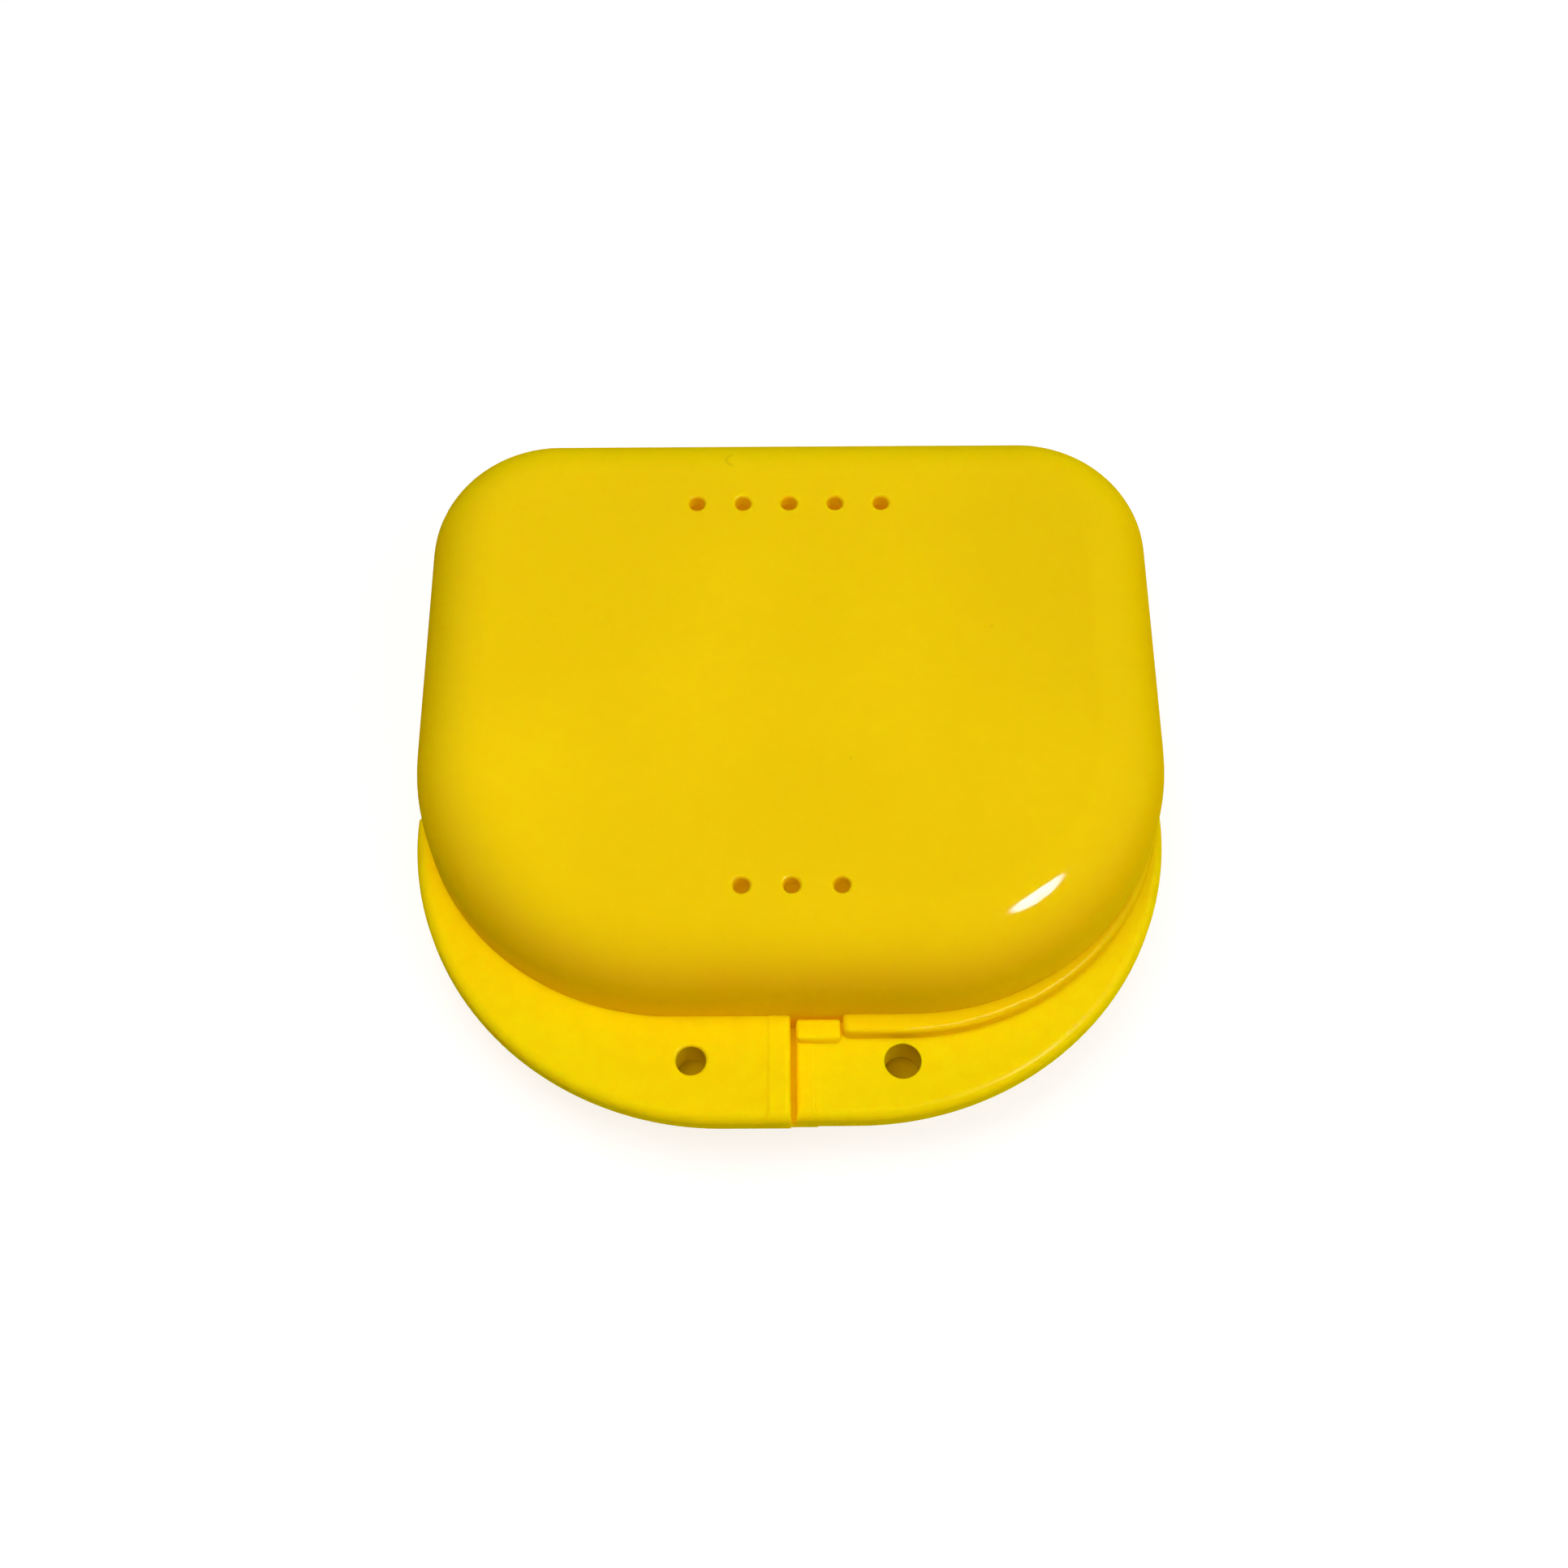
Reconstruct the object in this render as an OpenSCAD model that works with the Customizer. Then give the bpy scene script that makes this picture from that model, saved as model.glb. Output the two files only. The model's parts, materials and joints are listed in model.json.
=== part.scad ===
// Hinged orthodontic retainer case: two domed shells joined by a pin at the straight back.
// Each shell carries a thumb flange on one half of its front and a narrow lip on the other half,
// so the lid's flange and the base's flange lie side by side when the case is shut.
// A flange is moulded in one with its shell, but is a node of its own on the same body.
// The origin is on the table under the middle of the case. +Y points to the hinge and +Z up.

/* [Shells] */
// Width across the straight side walls
body_w = 80; // [74:0.5:95]
// Depth from the front wall to the back wall
body_d = 67.5; // [62:0.5:85]
// Height of one shell from its flat face to the parting plane
shell_h = 14; // [12:0.5:20]
// Thickness of the shell walls
wall = 1.5; // [1.2:0.1:2.4]
// Corner radius of the front walls seen from above
front_corner_r = 27.8; // [20:0.2:32]
// Corner radius of the back walls seen from above
back_corner_r = 14; // [10:0.2:18]
// Rounding between the flat face and the walls
dome_r = 7.5; // [5:0.5:9]
// Rounding of the outer rim edge, which shows as the seam line
rim_edge_r = 0.3; // [0.1:0.05:0.5]

/* [Thumb flanges] */
// Thickness of the flanges
flange_t = 3.3; // [2.8:0.1:4]
// How far each flange reaches past the parting plane, beside the other shell
flange_rise = 0.9; // [0.5:0.05:1.1]
// Reach of the lid's flange in front of the front wall
lid_reach = 11.35; // [9:0.25:14]
// Corner radius of the lid's flange
lid_flange_r = 33.2; // [28:0.2:36]
// Reach of the base's flange in front of the front wall
base_reach = 10.6; // [9:0.2:14]
// Corner radius of the base's flange
base_flange_r = 33.6; // [28:0.2:36]
// How far both flanges stand out at the side, past the gap to the other shell
flange_out = 0.15; // [0.15:0.05:0.6]
// How far the tapered ends of both flanges still stand out past that gap where they stop
flange_tip = 0.12; // [0.08:0.01:0.14]
// Rounding of the free edge of the flanges
flange_edge_r = 1.1; // [0.5:0.05:1.3]
// How far the base's flange runs on under the lid's flange
flange_lap = 1; // [0.6:0.1:1.4]

/* [Slit and pads] */
// Distance from the middle of the case to the edge of the lid's flange
slit_lid = 0.2; // [0.1:0.05:0.5]
// Distance from the middle of the case to the edge of the base's pad and catch
slit_base = 0.4; // [0.2:0.05:0.6]
// Width of the raised pad on the lid's flange
lid_pad_w = 2.6; // [1.5:0.1:4]
// Width of the raised pad on the base's flange
base_pad_w = 2.2; // [1.5:0.1:4]
// Height of both pads above their flange
pad_rise = 0.12; // [0.08:0.02:0.3]
// Rounding of the pad edges
pad_edge_r = 0.6; // [0.3:0.05:0.7]

/* [Lips and catches] */
// Thickness of the lips
lip_t = 1.85; // [1.4:0.05:2.4]
// Reach of the narrow lips in front of the front wall
lip_reach = 2.05; // [1.4:0.05:2.4]
// Corner radius of the lips
lip_r = 28.5; // [24:0.25:32]
// How far the lips stay inside the side wall where they end
lip_tuck = 0.05; // [0.02:0.01:0.2]
// Rounding of the outer edge of the lips
lip_edge_r = 0.6; // [0.3:0.05:1]
// Rounding of the lip edge that lies on the other shell's flange
lip_seam_r = 0.25; // [0.1:0.05:0.4]
// Corner radius of the free end of the lips seen from above
lip_end_r = 0.7; // [0.5:0.05:1.1]
// Width of the catch blocks
catch_w = 4.6; // [3:0.1:6]
// Depth of the catch blocks from front to back
catch_d = 2.3; // [1.6:0.1:3.2]
// Height of the catch blocks above their flange
catch_h = 1.25; // [0.8:0.05:1.6]
// Gap between the front of one shell and the flange, catch block or lip of the other
catch_gap = 0.2; // [0.15:0.05:0.5]
// Corner radius of the catch blocks seen from above
catch_corner_r = 0.6; // [0.3:0.05:0.75]
// Rounding of the top edges of the catch blocks
catch_edge_r = 0.45; // [0.15:0.05:0.6]

/* [Sockets] */
// Diameter of the blind socket in the lid's flange
lid_socket_d = 3.1; // [2.5:0.1:3.6]
// Distance of the lid's socket from the middle of the case
lid_socket_x = 10.4; // [9:0.2:14]
// Diameter of the blind socket in the base's flange
base_socket_d = 3.8; // [2.5:0.1:4.2]
// Distance of the base's socket from the middle of the case
base_socket_x = 11.35; // [9:0.2:14]
// Gap between the lip of one shell and the socket's rim or boss of the other
socket_gap = 0.35; // [0.3:0.05:1.2]
// Depth of both sockets
socket_depth = 4; // [3:0.1:5]
// Rounding of the rim of the lid's socket
lid_socket_rim = 0.4; // [0.1:0.05:0.5]
// Rounding of the rim of the base's socket
base_socket_rim = 0.15; // [0.1:0.05:0.3]
// Thickness of the boss around and under each socket
boss_wall = 0.85; // [0.7:0.05:1.3]

/* [Vents] */
// Diameter of the vent holes
vent_d = 1.7; // [1:0.1:2.5]
// Distance between neighbouring vent holes
vent_pitch = 5.07; // [4:0.1:7]
// Number of vent holes in the back row
back_vents = 5; // [1:2:7]
// Number of vent holes in the front row
front_vents = 3; // [1:2:5]
// Distance of the back row from the rounded back edge of the flat face
back_vent_margin = 3.9; // [1.8:0.1:8]
// Distance of the front row from the rounded front edge of the flat face
front_vent_margin = 1.95; // [1.8:0.1:8]
// Rounding of the outer rim of the vent holes
vent_rim = 0.4; // [0.1:0.05:0.5]

/* [Hinge] */
// Length of the row of hinge knuckles
hinge_len = 48; // [36:0.5:50]
// Number of knuckles, shared in turn by the base and the lid
knuckles = 5; // [3:2:7]
// Outer diameter of the knuckles
knuckle_d = 4.2; // [3.6:0.1:5]
// Gap between neighbouring knuckles
knuckle_gap = 0.3; // [0.2:0.05:0.6]
// Gap between the knuckles and the back walls
hinge_gap = 0.28; // [0.2:0.02:0.6]
// Thickness of the webs that carry the knuckles
web_t = 1.5; // [1:0.1:1.6]
// How far the webs stay away from the parting plane
web_drop = 0.2; // [0.1:0.05:0.4]
// Diameter of the hinge pin
pin_d = 2; // [1.5:0.1:2.2]
// Radial clearance of the pin in the lid's knuckles
pin_clearance = 0.06; // [0.03:0.01:0.1]
// Radial clearance of the pin in the base's knuckles, which hold it
pin_hold = 0.01; // [0.01:0.01:0.02]
// How far the pin ends stay inside the outer knuckles
pin_recess = 0.5; // [0.2:0.1:1.5]
// Chamfer on the pin ends
pin_chamfer = 0.2; // [0.1:0.05:0.4]

/* [Hidden] */
$fn = 96;
// Extra length of a cutter past the face it breaks through
over = 1;
// Small step that keeps a rounded cutter from just grazing a face
graze = 0.02;
half_w = body_w / 2;
knuckle_r = knuckle_d / 2;
deepest_reach = max(lid_reach, base_reach);
overall_d = deepest_reach + body_d + hinge_gap + knuckle_d;
front_y = deepest_reach - overall_d / 2;
back_y = front_y + body_d;
hinge_y = back_y + hinge_gap + knuckle_r;
// Centres of the corner arcs
front_arc_x = half_w - front_corner_r;
front_arc_y = front_y + front_corner_r;
back_arc_x = half_w - back_corner_r;
back_arc_y = back_y - back_corner_r;
// Both flanges as they lie on a shell whose flat face is down, and the lip below the other shell's flange
flange_low = shell_h + flange_rise - flange_t;
flange_high = shell_h + flange_rise;
flange_side = catch_gap + flange_out;
lip_high = shell_h - flange_rise;
lip_low = lip_high - lip_t;
// Roundings that stay within the thickness or the end they belong to
flange_round = min(flange_edge_r, flange_t / 2 - graze);
lap_round = min(flange_edge_r, (lip_high - flange_low) / 2 - graze);
lip_round = min(lip_edge_r, lip_end_r - graze);
// Where the lips begin, counted from the middle of the case
lid_lip_x = slit_base + catch_w + catch_gap;
base_lip_x = flange_lap + 2 * catch_gap + catch_w;
knuckle_len = (hinge_len - (knuckles - 1) * knuckle_gap) / knuckles;
plastic = [0.93, 0.79, 0.01];
steel = [0.72, 0.73, 0.75];

// Turns a shell that lies like the base over onto the parting plane, as the lid lies
module as_lid() {
    translate([0, 0, 2 * shell_h]) rotate([0, 180, 0]) children();
}

// Quarter of a disc, in the corner between +x and +y
module quarter_disc(r) {
    intersection() {
        circle(r);
        square(r);
    }
}

// Strip from 0 to reach and from z_low to z_high whose outer corners have their own radii
module edge_profile(reach, z_low, z_high, low_r, high_r) {
    z_mid = (z_low + low_r + z_high - high_r) / 2;
    translate([0, z_low]) square([reach - low_r, z_mid - z_low]);
    translate([0, z_mid]) square([reach - high_r, z_high - z_mid]);
    translate([0, z_low + low_r]) square([reach, z_high - z_low - low_r - high_r]);
    translate([reach - low_r, z_low + low_r]) mirror([0, 1]) quarter_disc(low_r);
    translate([reach - high_r, z_high - high_r]) quarter_disc(high_r);
}

// Rectangle with round corners
module round_rect(w, h, r) {
    translate([r, 0]) square([w - 2 * r, h]);
    translate([0, r]) square([w, h - 2 * r]);
    for (x = [r, w - r], y = [r, h - r]) {
        translate([x, y]) circle(r);
    }
}

// Straight run of a profile: it faces the given direction and runs to the right as seen from outside
module run(direction, length) {
    rotate([0, 0, direction]) rotate([90, 0, 0]) linear_extrude(length) children();
}

// Solid with the shell's outline, drawn in by inset, with a rounded floor edge
module domed_solid(inset, z_top, top_r) {
    front_r = front_corner_r - inset;
    back_r = back_corner_r - inset;
    floor_r = dome_r - inset;
    for (side = [0, 1]) mirror([side, 0, 0]) {
        translate([front_arc_x, front_arc_y, 0]) rotate([0, 0, -90])
            rotate_extrude(angle = 90) edge_profile(front_r, inset, z_top, floor_r, top_r);
        translate([back_arc_x, back_arc_y, 0])
            rotate_extrude(angle = 90) edge_profile(back_r, inset, z_top, floor_r, top_r);
        translate([back_arc_x, back_arc_y, 0])
            run(0, back_arc_y - front_arc_y) edge_profile(back_r, inset, z_top, floor_r, top_r);
    }
    translate([front_arc_x, front_arc_y, 0])
        run(-90, 2 * front_arc_x) edge_profile(front_r, inset, z_top, floor_r, top_r);
    translate([-back_arc_x, back_arc_y, 0])
        run(90, 2 * back_arc_x) edge_profile(back_r, inset, z_top, floor_r, top_r);
    translate([-back_arc_x, front_arc_y, inset])
        cube([2 * back_arc_x, back_arc_y - front_arc_y, z_top - inset]);
}

// Outline of a shell seen from above, let out by grow
module shell_outline(grow) {
    for (side = [0, 1]) mirror([side, 0]) {
        translate([front_arc_x, front_arc_y]) circle(front_corner_r + grow);
        translate([back_arc_x, back_arc_y]) circle(back_corner_r + grow);
    }
    translate([-front_arc_x, front_y - grow]) square([2 * front_arc_x, back_arc_y - front_y + grow]);
    translate([-half_w - grow, front_arc_y]) square([body_w + 2 * grow, back_arc_y - front_arc_y]);
    translate([-back_arc_x, back_arc_y]) square([2 * back_arc_x, back_corner_r + grow]);
}

// Space of a flange's own shell up to the parting plane
module own_shell_space() {
    linear_extrude(shell_h) shell_outline(0);
}

// Space of the other shell above the parting plane, with the gap around it
module other_shell_space() {
    translate([0, 0, shell_h]) linear_extrude(shell_h) shell_outline(catch_gap);
}

// Plate in front of the right half of a shell. It stands out past the side wall by side, and then
// tapers until it stands out by tip only.
module front_plate(z_low, z_high, reach, corner_r, side, tip, x_start, low_r, high_r) {
    arc_x = half_w + side - corner_r;
    arc_y = front_y - reach + corner_r;
    taper = acos(1 - (side - tip) / corner_r);
    translate([arc_x, arc_y, 0]) {
        rotate([0, 0, -90]) rotate_extrude(angle = 90 + taper)
            edge_profile(corner_r, z_low, z_high, low_r, high_r);
        run(-90, arc_x - x_start) edge_profile(corner_r, z_low, z_high, low_r, high_r);
    }
}

// Thumb flange on the right half of a shell
module thumb_flange(reach, corner_r, x_start) {
    tip = catch_gap + flange_tip;
    edge_r = flange_round;
    front_plate(flange_low, flange_high, reach, corner_r, flange_side, tip, x_start, edge_r, edge_r);
}

// Tongue of the base's flange that runs on under the lid's flange and closes the slit from below
module lap_tongue() {
    x_end = slit_base + base_pad_w;
    translate([x_end, front_y + wall / 2, 0]) run(-90, x_end + flange_lap)
        edge_profile(base_reach + wall / 2, flange_low, lip_high, lap_round, lap_round);
}

// Raised pad along the slit, from inside the front wall to the free edge of its flange
module slit_pad(reach, x_from, width, z_low, z_high) {
    length = reach + wall / 2;
    intersection() {
        translate([x_from + width, front_y + wall / 2, 0])
            run(-90, width) edge_profile(length, z_low, z_high, flange_round, flange_round);
        translate([x_from, front_y + wall / 2 + over, z_low]) rotate([90, 0, 0])
            linear_extrude(length + 2 * over) round_rect(width, z_high - z_low, pad_edge_r);
    }
}

// Narrow lip in front of the left half of a shell, with a rounded free end
module lip(x_start) {
    end_x = x_start + lip_end_r;
    mirror([1, 0, 0]) {
        front_plate(lip_low, lip_high, lip_reach, lip_r, -lip_tuck, -wall / 2, end_x, lip_round, lip_seam_r);
        translate([end_x, front_y - lip_reach + lip_end_r, 0]) {
            rotate([0, 0, 180]) rotate_extrude(angle = 90)
                edge_profile(lip_end_r, lip_low, lip_high, lip_round, lip_seam_r);
            run(180, lip_reach - lip_end_r + wall / 2)
                edge_profile(lip_end_r, lip_low, lip_high, lip_round, lip_seam_r);
        }
    }
}

// Catch block on the flange of the right half of a shell, in front of the other shell's wall
module catch_block(x_start) {
    root = flange_t / 2;
    z_low = flange_high - root;
    height = root + catch_h;
    y_low = front_y - catch_gap - catch_d;
    intersection() {
        translate([x_start, y_low, z_low]) linear_extrude(height)
            round_rect(catch_w, catch_d, catch_corner_r);
        translate([x_start, y_low + catch_d, z_low]) rotate([90, 0, 0])
            linear_extrude(catch_d) round_rect(catch_w, height, catch_edge_r);
        translate([x_start, y_low, z_low]) rotate([90, 0, 90])
            linear_extrude(catch_w) round_rect(catch_d, height, catch_edge_r);
    }
}

// Vent holes through the flat face, with rounded outer rims
module vent_cuts() {
    module row(count, y) {
        for (i = [0 : count - 1]) {
            x = (i - (count - 1) / 2) * vent_pitch;
            translate([x, y, 0]) rim_hole(vent_d / 2, vent_rim, wall + over);
        }
    }
    row(back_vents, back_y - dome_r - back_vent_margin);
    row(front_vents, front_y + dome_r + front_vent_margin);
}

// Round cutter that starts on the plane z = 0, goes up by depth and flares out to a rounded rim
module rim_hole(r, rim, depth) {
    rotate_extrude() {
        translate([0, -over]) square([r, depth + over]);
        difference() {
            translate([0, -over]) square([r + rim, over + rim - graze]);
            translate([r + rim, rim - graze]) circle(rim);
        }
    }
}

// Boss that closes a socket: it starts inside the flange and goes down past the socket's floor
module socket_boss(d) {
    boss_len = socket_depth + boss_wall - flange_t / 2;
    translate([0, 0, -boss_len]) cylinder(h = boss_len, d = d + 2 * boss_wall);
}

// Every second knuckle, counted from the given one, with the web that carries it
module knuckle_row(first) {
    for (i = [first : 2 : knuckles - 1]) {
        x = i * (knuckle_len + knuckle_gap) - hinge_len / 2;
        translate([x, hinge_y, shell_h]) rotate([0, 90, 0]) cylinder(h = knuckle_len, r = knuckle_r);
        translate([x, back_y - wall / 2, shell_h - web_drop - web_t])
            cube([knuckle_len, hinge_y - back_y + wall / 2, web_t]);
    }
}

// Bore for the pin through a row of knuckles
module pin_bore(clearance) {
    translate([-hinge_len / 2 - over, hinge_y, shell_h]) rotate([0, 90, 0])
        cylinder(h = hinge_len + 2 * over, r = pin_d / 2 + clearance);
}

module base_thumb_flange() {
    thumb_flange(base_reach, base_flange_r, slit_base + base_pad_w / 2);
}

// The lid's flange as it lies before the lid is turned over
module lid_thumb_flange() {
    thumb_flange(lid_reach, lid_flange_r, slit_lid + lid_pad_w / 2);
}

module base_shell() {
    color(plastic) difference() {
        union() {
            domed_solid(0, shell_h, rim_edge_r);
            intersection() {
                base_thumb_flange();
                own_shell_space();
            }
            lip(base_lip_x);
            knuckle_row(0);
        }
        domed_solid(wall, shell_h + over, graze);
        vent_cuts();
        pin_bore(pin_hold);
    }
}

module base_flange() {
    socket_y = front_y - lip_reach - socket_gap - base_socket_rim - base_socket_d / 2;
    socket = [base_socket_x, socket_y, flange_high];
    color(plastic) union() {
        difference() {
            union() {
                base_thumb_flange();
                slit_pad(base_reach, slit_base, base_pad_w, flange_low, flange_high + pad_rise);
                lap_tongue();
                translate(socket - [0, 0, flange_t / 2]) socket_boss(base_socket_d);
            }
            own_shell_space();
            other_shell_space();
            translate(socket) mirror([0, 0, 1]) rim_hole(base_socket_d / 2, base_socket_rim, socket_depth);
        }
        catch_block(slit_base);
    }
}

module lid_shell() {
    color(plastic) as_lid() difference() {
        union() {
            domed_solid(0, shell_h, rim_edge_r);
            intersection() {
                lid_thumb_flange();
                own_shell_space();
            }
            lip(lid_lip_x);
            knuckle_row(1);
        }
        domed_solid(wall, shell_h + over, graze);
        vent_cuts();
        pin_bore(pin_clearance);
    }
}

module lid_flange() {
    socket_y = front_y - lip_reach - socket_gap - boss_wall - lid_socket_d / 2;
    socket = [lid_socket_x, socket_y, flange_low];
    color(plastic) as_lid() union() {
        difference() {
            union() {
                lid_thumb_flange();
                slit_pad(lid_reach, slit_lid, lid_pad_w, flange_low - pad_rise, flange_high);
                translate(socket + [0, 0, flange_t / 2]) mirror([0, 0, 1]) socket_boss(lid_socket_d);
            }
            own_shell_space();
            other_shell_space();
            translate(socket) rim_hole(lid_socket_d / 2, lid_socket_rim, socket_depth);
        }
        catch_block(flange_lap + catch_gap);
    }
}

module hinge_pin() {
    length = hinge_len - 2 * pin_recess;
    color(steel) translate([-length / 2, hinge_y, shell_h]) rotate([0, 90, 0]) rotate_extrude()
        polygon([
            [0, 0],
            [pin_d / 2 - pin_chamfer, 0],
            [pin_d / 2, pin_chamfer],
            [pin_d / 2, length - pin_chamfer],
            [pin_d / 2 - pin_chamfer, length],
            [0, length]
        ]);
}

base_shell();
base_flange();
lid_shell();
lid_flange();
hinge_pin();
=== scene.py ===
"""Looks of a yellow hinged orthodontic retainer case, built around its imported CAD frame."""
import json
import math

import bpy
from mathutils import Euler, Matrix, Vector


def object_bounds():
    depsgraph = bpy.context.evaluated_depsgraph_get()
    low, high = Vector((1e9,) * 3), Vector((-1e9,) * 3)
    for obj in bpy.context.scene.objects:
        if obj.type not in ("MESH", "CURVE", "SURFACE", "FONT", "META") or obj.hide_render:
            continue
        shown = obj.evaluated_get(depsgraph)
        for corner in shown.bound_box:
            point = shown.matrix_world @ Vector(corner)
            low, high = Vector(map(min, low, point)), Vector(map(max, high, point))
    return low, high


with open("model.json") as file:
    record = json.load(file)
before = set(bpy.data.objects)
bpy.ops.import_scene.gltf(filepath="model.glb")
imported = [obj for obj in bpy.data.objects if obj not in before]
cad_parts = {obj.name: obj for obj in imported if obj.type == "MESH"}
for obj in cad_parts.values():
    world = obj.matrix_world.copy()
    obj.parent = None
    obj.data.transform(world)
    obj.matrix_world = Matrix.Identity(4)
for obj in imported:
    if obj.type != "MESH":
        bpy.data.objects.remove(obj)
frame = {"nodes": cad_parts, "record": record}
cad_low, cad_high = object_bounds()

# Lengths below are in metres, in the frame of the CAD model
MM = 0.001

# Camera fitted to the photograph
PHOTO_SIDE_PX = 1932
FOCAL_PX = 2710
SENSOR_MM = 36.0
CAMERA_PLACE = Vector((-0.71, -115.75, 228)) * MM
CAMERA_TILT_DEG = 28.0
CAMERA_ROLL_DEG = -0.33
CAMERA_NEAR = 0.01
CAMERA_FAR = 20.0

# Colours of the moulded plastic, each pair with the two ends of its slow change from place to place
# One plastic in two copies of its colour: the lid's is darker, as painted shade, than the base's and
# flanges'
SHADED_LID_TINTS = ((0.855, 0.605, 0.001, 1.0), (0.895, 0.64, 0.001, 1.0))
LIT_TINTS = ((0.985, 0.675, 0.001, 1.0), (0.995, 0.71, 0.001, 1.0))
MOTTLE_TINT = (0.82, 0.56, 0.0005, 1.0)
# Painted shade: the shells' steep walls and the flanges' edges take a darker, more orange colour
SHELL_WALL_SHADE = (0.85, 0.505, 0.0005, 1.0)
FLANGE_EDGE_SHADE = (0.985, 0.635, 0.0005, 1.0)
# Painted shade inside the blind sockets: on the wall, towards the rim, and on the floor
SOCKET_WALL_SHADE = (0.65, 0.45, 0.001, 1.0)
SOCKET_RIM_SHADE = (0.58, 0.37, 0.001, 1.0)
SOCKET_FLOOR_SHADE = (0.45, 0.285, 0.001, 1.0)
CLOUD_SIZE = 30 * MM
CLOUD_RANGE = (0.35, 0.65)
MOTTLE_SIZE = 1.6 * MM
MOTTLE_RANGE = (0.3, 0.7)
MOTTLE_SHARE = 0.15

# Upright part of a face's normal where the face begins to count as steep and to take painted shade, and
# where it wholly does
STEEP_RANGE = (1.0, 0.35)

# Light that shines through the plastic, and light that spreads inside it
LID_PASSES = (1.0, 0.92, 0.06, 1.0)
BASE_PASSES = (0.75, 0.55, 0.02, 1.0)
FLANGE_PASSES = (0.85, 0.76, 0.03, 1.0)
GLOW_DEPTH = 0.8 * MM
GLOW_SPREAD = (1.0, 0.8, 0.05)

# Gloss of the plastic, which is polished, and satin within a band beside the parting plane
GLOSS_LEVEL = 0.04
GLOSS_FADE = (0.15, 0.5)
POLISH = (0.04, 0.06)
SATIN_BAND = (2.6 * MM, 4.5 * MM)
SATIN_LEVEL = 0.012
SATIN_POLISH = 0.25

# Fine scratches across the case, and the orange peel of the mould
SCRATCH_SIZE = 3 * MM
SCRATCH_STRETCH = (1, 30, 1)
SCRATCH_RANGE = (0.6, 0.72)
SCRATCH_ROUGHNESS = 0.03
PEEL_SIZE = 0.9 * MM
PEEL_STRENGTH = 0.2
BUMP_HEIGHT = 0.01 * MM

# Small flaws of the lid, as they lie in the photograph
GATE_MARK = Vector((-6.0, 31.9, 27.6)) * MM
GATE_MARK_R = 0.95 * MM
GATE_MARK_WIDTH = (0.35 * MM, 0.1 * MM)
GATE_MARK_END = 0.4 * MM
SPECKS = [Vector((21.6, 9.6, 28)) * MM, Vector((6.2, -6.4, 28)) * MM]
SPECK_R = 0.35 * MM
FLAW_TINT = SOCKET_WALL_SHADE
FLAW_SHARE = 0.4

# Soft borders of the painted shade in a socket: outside its wall, below its floor, and where wall and floor
# meet
SOCKET_EDGE = 0.03 * MM
SOCKET_BELOW = (-0.3 * MM, -0.1 * MM)
SOCKET_ABOVE = (0.04 * MM, 0.02 * MM)

# Drawn steel
STEEL_LIGHT = (0.66, 0.66, 0.67, 1.0)
STEEL_DARK = (0.42, 0.42, 0.44, 1.0)
STEEL_LINE_SIZE = 0.12 * MM
STEEL_LINE_STRETCH = (0.02, 1, 1)
STEEL_LINE_STRENGTH = 0.3
STEEL_STAIN_SIZE = 2.5 * MM
STEEL_STAIN_RANGE = (0.3, 0.7)
STEEL_POLISH = (0.22, 0.4)

# Floor, which glows white to the camera, less so near the case to keep its shadow, and world
WHITE = (1.0, 1.0, 1.0, 1.0)
FLOOR_COLOUR = (0.62, 0.62, 0.62, 1.0)
FLOOR_SHADE = (0.45, 0.45, 0.45, 1.0)
FLOOR_WHITE = 0.7
FLOOR_FADE = (0.25, 1.2)
FLOOR_SIDE = 6.0
AMBIENT = 0.05

# Soft lamps, each with its direction from the case, its distance, its side and its strength at the case
SOFT_LAMPS = {
    "near lamp": ((-0.3, -0.2, 1), 0.22, 0.12, 0.385),
    "top lamp": ((0, 0, 1), 1.0, 0.5, 0.235),
    "front lamp": ((0.5, -0.5, 0.7), 1.0, 0.5, 0.315),
    "right lamp": ((0.85, 0, 0.53), 1.0, 0.5, 0.19),
    "back lamp": ((0, 0.85, 0.53), 1.0, 0.5, 0.125),
}

# Oval lamp that makes the highlight alone, placed so that the highlight lies as in the photograph
GLINT_DIRECTION = (0.521, -0.213, 0.827)
GLINT_ALONG = (0.862, 0.081, -0.501)
GLINT_DISTANCE = 0.728
GLINT_SIZE = (0.167, 0.222)
GLINT_STRENGTH = 3.6

record = frame["record"]
mounts = {mount["name"]: mount for mount in record["mounts"]}


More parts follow.
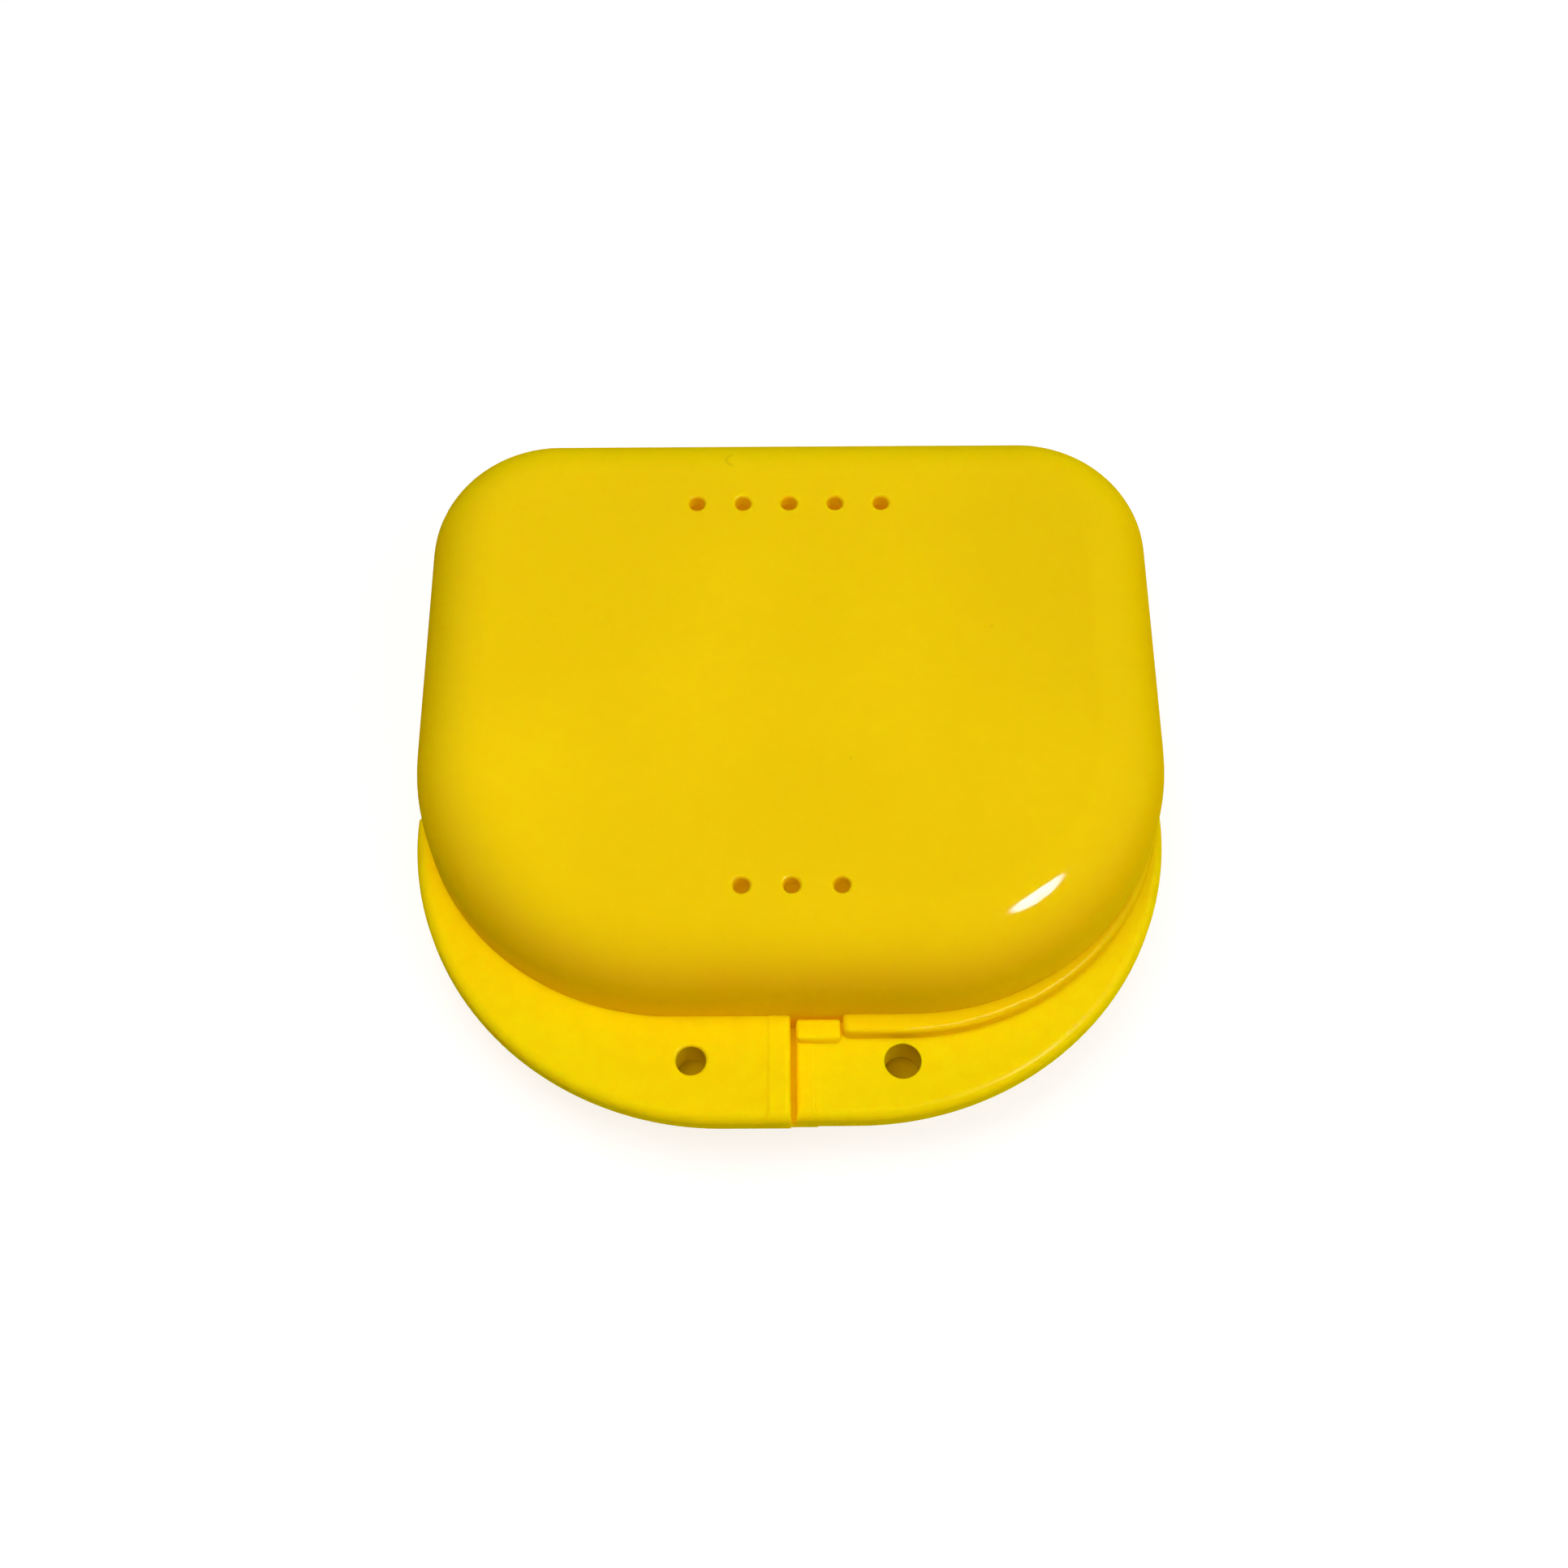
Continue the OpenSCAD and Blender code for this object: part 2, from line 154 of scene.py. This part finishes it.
class Graph:
    """Short calls that build one node tree."""

    def __init__(self, owner):
        owner.use_nodes = True
        self.tree = owner.node_tree
        self.tree.nodes.clear()

    def feed(self, socket, value):
        """Links a socket to another socket, or sets it to a value."""
        if isinstance(value, bpy.types.NodeSocket):
            self.tree.links.new(value, socket)
        else:
            socket.default_value = value

    def node(self, kind, inputs=None, **settings):
        """A new node with its settings, and its inputs by name or number."""
        made = self.tree.nodes.new(kind)
        for name, value in settings.items():
            setattr(made, name, value)
        for name, value in (inputs or {}).items():
            self.feed(made.inputs[name], value)
        return made

    def math(self, operation, first, second=0.0):
        """Result of one sum."""
        return self.node("ShaderNodeMath", {0: first, 1: second}, operation=operation).outputs[0]

    def ramp(self, value, low, high, to_low=0.0, to_high=1.0):
        """Smooth step of a value from low to high."""
        inputs = {"Value": value, "From Min": low, "From Max": high, "To Min": to_low, "To Max": to_high}
        return self.node("ShaderNodeMapRange", inputs, interpolation_type="SMOOTHSTEP").outputs[0]

    def mix(self, share, first, second):
        """Mix of two colours."""
        return self.node("ShaderNodeMix", {0: share, 6: first, 7: second}, data_type="RGBA").outputs[2]

    def noise(self, place, size, detail):
        """Noise whose features are about as large as size."""
        inputs = {"Vector": place, "Scale": 1 / size, "Detail": detail}
        return self.node("ShaderNodeTexNoise", inputs).outputs[0]

    def stretched(self, place, stretch):
        """Coordinates multiplied axis by axis."""
        made = self.node("ShaderNodeVectorMath", {0: place, 1: stretch}, operation="MULTIPLY")
        return made.outputs[0]

    def distance(self, place, point):
        """Distance from a point."""
        made = self.node("ShaderNodeVectorMath", {0: place, 1: point}, operation="DISTANCE")
        return made.outputs["Value"]

    def object_place(self):
        """Coordinates of the CAD model at rest."""
        return self.node("ShaderNodeTexCoord").outputs["Object"]

    def along(self, vector, axis):
        """One coordinate of a vector, by the name of its axis."""
        return self.node("ShaderNodeSeparateXYZ", {0: vector}).outputs[axis]

    def bump(self, height, strength):
        """Normal that is tilted by a height."""
        inputs = {"Height": height, "Strength": strength, "Distance": BUMP_HEIGHT}
        return self.node("ShaderNodeBump", inputs).outputs[0]

    def mixed_shader(self, share, first, second):
        """Mix of two shader nodes."""
        inputs = {0: share, 1: first.outputs[0], 2: second.outputs[0]}
        return self.node("ShaderNodeMixShader", inputs)

    def surface(self, shader):
        """Makes a shader node the surface of the material or world."""
        kind = "ShaderNodeOutputWorld" if shader.type == "BACKGROUND" else "ShaderNodeOutputMaterial"
        self.node(kind, {"Surface": shader.outputs[0]})

    def seen(self):
        """Mask that is 1 for what the camera sees, straight, mirrored or through glass."""
        path = self.node("ShaderNodeLightPath").outputs
        mirrored = self.math("MAXIMUM", path["Is Glossy Ray"], path["Is Transmission Ray"])
        return self.math("MAXIMUM", path["Is Camera Ray"], mirrored)


def steep_wall(graph):
    """Mask that is 1 on upright walls and 0 on level faces, whichever way the piece is turned."""
    normal = graph.node("ShaderNodeTexCoord").outputs["Normal"]
    return graph.ramp(graph.math("ABSOLUTE", graph.along(normal, "Z")), *STEEP_RANGE)


def off_parting(graph, place):
    """Height above or below the parting plane of the two shells, which is at half the height of the case."""
    parting = (cad_low.z + cad_high.z) / 2
    return graph.math("ABSOLUTE", graph.math("SUBTRACT", graph.along(place, "Z"), parting))


def with_socket_shade(graph, place, mount, colour):
    """Colour with painted shade in a blind socket, dark brown, and darker on its floor and towards its rim.
    """
    flat = graph.stretched(place, (1, 1, 0))
    height = graph.along(place, "Z")
    centre = Vector(mount["pos_m"])
    radius = mount["dims"]["r_mm"] * MM
    depth = mount["dims"]["length_mm"] * MM
    floor = centre.z - depth / 2
    off_axis = graph.distance(flat, centre * Vector((1, 1, 0)))
    within = graph.ramp(off_axis, radius + SOCKET_EDGE, radius)
    above = graph.ramp(height, floor + SOCKET_BELOW[0], floor + SOCKET_BELOW[1])
    on_floor = graph.ramp(height, floor + SOCKET_ABOVE[0], floor + SOCKET_ABOVE[1])
    wall = graph.mix(graph.ramp(height, floor, floor + depth), SOCKET_WALL_SHADE, SOCKET_RIM_SHADE)
    socket_shade = graph.mix(on_floor, wall, SOCKET_FLOOR_SHADE)
    return graph.mix(graph.math("MULTIPLY", within, above), colour, socket_shade)


def with_flaws(graph, place, colour):
    """Colour with the lid's gate mark, which is an arc, and its specks in it."""
    off_centre = graph.distance(place, GATE_MARK)
    off_arc = graph.math("ABSOLUTE", graph.math("SUBTRACT", off_centre, GATE_MARK_R))
    left_half = graph.ramp(graph.along(place, "X"), GATE_MARK.x, GATE_MARK.x - GATE_MARK_END)
    mask = graph.math("MULTIPLY", graph.ramp(off_arc, *GATE_MARK_WIDTH), left_half)
    for speck in SPECKS:
        mask = graph.math("MAXIMUM", mask, graph.ramp(graph.distance(place, speck), SPECK_R, 0))
    return graph.mix(graph.math("MULTIPLY", mask, FLAW_SHARE), colour, FLAW_TINT)


def moulded_plastic(name, tints, steep_shade, passes, socket=None, flawed=False):
    """Slightly translucent yellow plastic with faint mottling, scratches, an orange peel, and painted shade
    on steep faces and in a socket.

    Lamps shine through it in the colour that passes, and its gloss fades towards the outline.
    """
    material = bpy.data.materials.new(name)
    graph = Graph(material)
    place = graph.object_place()

    cloudy = graph.ramp(graph.noise(place, CLOUD_SIZE, detail=1), *CLOUD_RANGE)
    mottled = graph.ramp(graph.noise(place, MOTTLE_SIZE, detail=4), *MOTTLE_RANGE)
    colour = graph.mix(graph.math("MULTIPLY", mottled, MOTTLE_SHARE), graph.mix(cloudy, *tints), MOTTLE_TINT)
    # Painted shade: steep faces take a darker, more orange colour
    colour = graph.mix(steep_wall(graph), colour, steep_shade)
    if socket:
        # Painted shade in the blind socket
        colour = with_socket_shade(graph, place, socket, colour)
    if flawed:
        colour = with_flaws(graph, place, colour)

    off_rim = off_parting(graph, place)
    polish = graph.ramp(off_rim, *SATIN_BAND, SATIN_POLISH, graph.ramp(cloudy, 0, 1, *POLISH))
    scratches = graph.noise(graph.stretched(place, SCRATCH_STRETCH), SCRATCH_SIZE, detail=5)
    scratched = graph.math("MULTIPLY", graph.ramp(scratches, *SCRATCH_RANGE), SCRATCH_ROUGHNESS)
    level = graph.ramp(off_rim, *SATIN_BAND, SATIN_LEVEL, GLOSS_LEVEL)
    turned_away = graph.node("ShaderNodeLayerWeight").outputs["Facing"]

    plastic = graph.node("ShaderNodeBsdfPrincipled", {
        "Base Color": colour,
        "Roughness": graph.math("ADD", scratched, polish),
        "Specular IOR Level": graph.ramp(turned_away, *GLOSS_FADE, level, 0.0),
        "Subsurface Weight": 1.0,
        "Subsurface Radius": GLOW_SPREAD,
        "Subsurface Scale": GLOW_DEPTH,
        "Normal": graph.bump(graph.noise(place, PEEL_SIZE, detail=2), PEEL_STRENGTH),
    })
    passed = graph.node("ShaderNodeBsdfTransparent", {"Color": passes})
    to_lamp = graph.node("ShaderNodeLightPath").outputs["Is Shadow Ray"]
    graph.surface(graph.mixed_shader(to_lamp, plastic, passed))
    return material


def drawn_steel(name):
    """Steel wire with fine drawing lines along its length."""
    material = bpy.data.materials.new(name)
    graph = Graph(material)
    place = graph.object_place()
    lines = graph.noise(graph.stretched(place, STEEL_LINE_STRETCH), STEEL_LINE_SIZE, detail=4)
    stain = graph.noise(place, STEEL_STAIN_SIZE, detail=3)
    graph.surface(graph.node("ShaderNodeBsdfPrincipled", {
        "Base Color": graph.mix(lines, STEEL_DARK, STEEL_LIGHT),
        "Metallic": 1.0,
        "Roughness": graph.ramp(stain, *STEEL_STAIN_RANGE, *STEEL_POLISH),
        "Normal": graph.bump(lines, STEEL_LINE_STRENGTH),
    }))
    return material


def dress(node, material):
    """Gives a CAD node its material."""
    slots = frame["nodes"][node].data.materials
    slots.clear()
    slots.append(material)


def add_camera():
    """Camera that sees the case as the photograph does."""
    data = bpy.data.cameras.new("camera")
    data.sensor_width = SENSOR_MM
    data.lens = FOCAL_PX * SENSOR_MM / PHOTO_SIDE_PX
    data.clip_start = CAMERA_NEAR
    data.clip_end = CAMERA_FAR
    camera = bpy.data.objects.new("camera", data)
    tilt = Euler((math.radians(CAMERA_TILT_DEG), 0, 0)).to_matrix()
    roll = Euler((0, 0, math.radians(CAMERA_ROLL_DEG))).to_matrix()
    camera.rotation_euler = (tilt @ roll).to_euler()
    camera.location = CAMERA_PLACE
    bpy.context.scene.collection.objects.link(camera)
    bpy.context.scene.camera = camera


def add_lamp(name, shape, direction, distance, width, height, strength, along=(1, 0, 0)):
    """Flat lamp that faces the case, with its width along a direction.

    A white surface at the case that faces the lamp gets the given strength from it.
    """
    data = bpy.data.lights.new(name, "AREA")
    data.shape = shape
    data.size = width
    data.size_y = height
    data.energy = strength * (math.pi * distance) ** 2
    lamp = bpy.data.objects.new(name, data)
    back = Vector(direction).normalized()
    up = back.cross(Vector(along)).normalized()
    right = up.cross(back)
    lamp.rotation_euler = Matrix((right, up, back)).transposed().to_euler()
    lamp.location = (cad_low + cad_high) / 2 + back * distance
    lamp.visible_camera = False
    bpy.context.scene.collection.objects.link(lamp)
    return lamp


def add_lamps():
    """Soft lamps that light the case without showing in its gloss, and one that shows in its gloss alone."""
    for name, (direction, distance, side, strength) in SOFT_LAMPS.items():
        lamp = add_lamp(name, "RECTANGLE", direction, distance, side, side, strength)
        lamp.visible_glossy = False
    glint = add_lamp(
        "glint", "ELLIPSE", GLINT_DIRECTION, GLINT_DISTANCE, *GLINT_SIZE, GLINT_STRENGTH, GLINT_ALONG,
    )
    glint.visible_diffuse = False


def add_floor():
    """Pale floor that looks white to the camera and keeps the case's shadow."""
    half = FLOOR_SIDE / 2
    mesh = bpy.data.meshes.new("floor")
    corners = [(-half, -half, 0), (half, -half, 0), (half, half, 0), (-half, half, 0)]
    mesh.from_pydata(corners, [], [(0, 1, 2, 3)])
    floor = bpy.data.objects.new("floor", mesh)
    material = bpy.data.materials.new("floor")
    graph = Graph(material)
    paper = graph.node("ShaderNodeBsdfDiffuse", {"Color": FLOOR_COLOUR})
    shade = graph.node("ShaderNodeBsdfDiffuse", {"Color": FLOOR_SHADE})
    away = graph.distance(graph.object_place(), (0, 0, 0))
    strength = graph.ramp(away, *FLOOR_FADE, FLOOR_WHITE, 1.0)
    white = graph.node("ShaderNodeEmission", {"Color": WHITE, "Strength": strength})
    seen_paper = graph.node("ShaderNodeAddShader", {0: shade.outputs[0], 1: white.outputs[0]})
    graph.surface(graph.mixed_shader(graph.seen(), paper, seen_paper))
    mesh.materials.append(material)
    bpy.context.scene.collection.objects.link(floor)


def add_world():
    """Dim ambient light that looks white to the camera."""
    world = bpy.data.worlds.new("studio")
    bpy.context.scene.world = world
    graph = Graph(world)
    strength = graph.ramp(graph.seen(), 0, 1, AMBIENT, 1)
    graph.surface(graph.node("ShaderNodeBackground", {"Color": WHITE, "Strength": strength}))


bpy.context.scene.view_settings.view_transform = "Standard"
add_camera()
add_floor()
add_world()
add_lamps()

dress("lid_shell", moulded_plastic("lid_plastic", SHADED_LID_TINTS, SHELL_WALL_SHADE, LID_PASSES, flawed=True))
dress("base_shell", moulded_plastic("base_plastic", LIT_TINTS, SHELL_WALL_SHADE, BASE_PASSES))
for body in ("lid", "base"):
    node = body + "_flange"
    socket = mounts[body + "_socket"]
    dress(node, moulded_plastic(node + "_plastic", LIT_TINTS, FLANGE_EDGE_SHADE, FLANGE_PASSES, socket))
dress("hinge_pin", drawn_steel("pin_steel"))
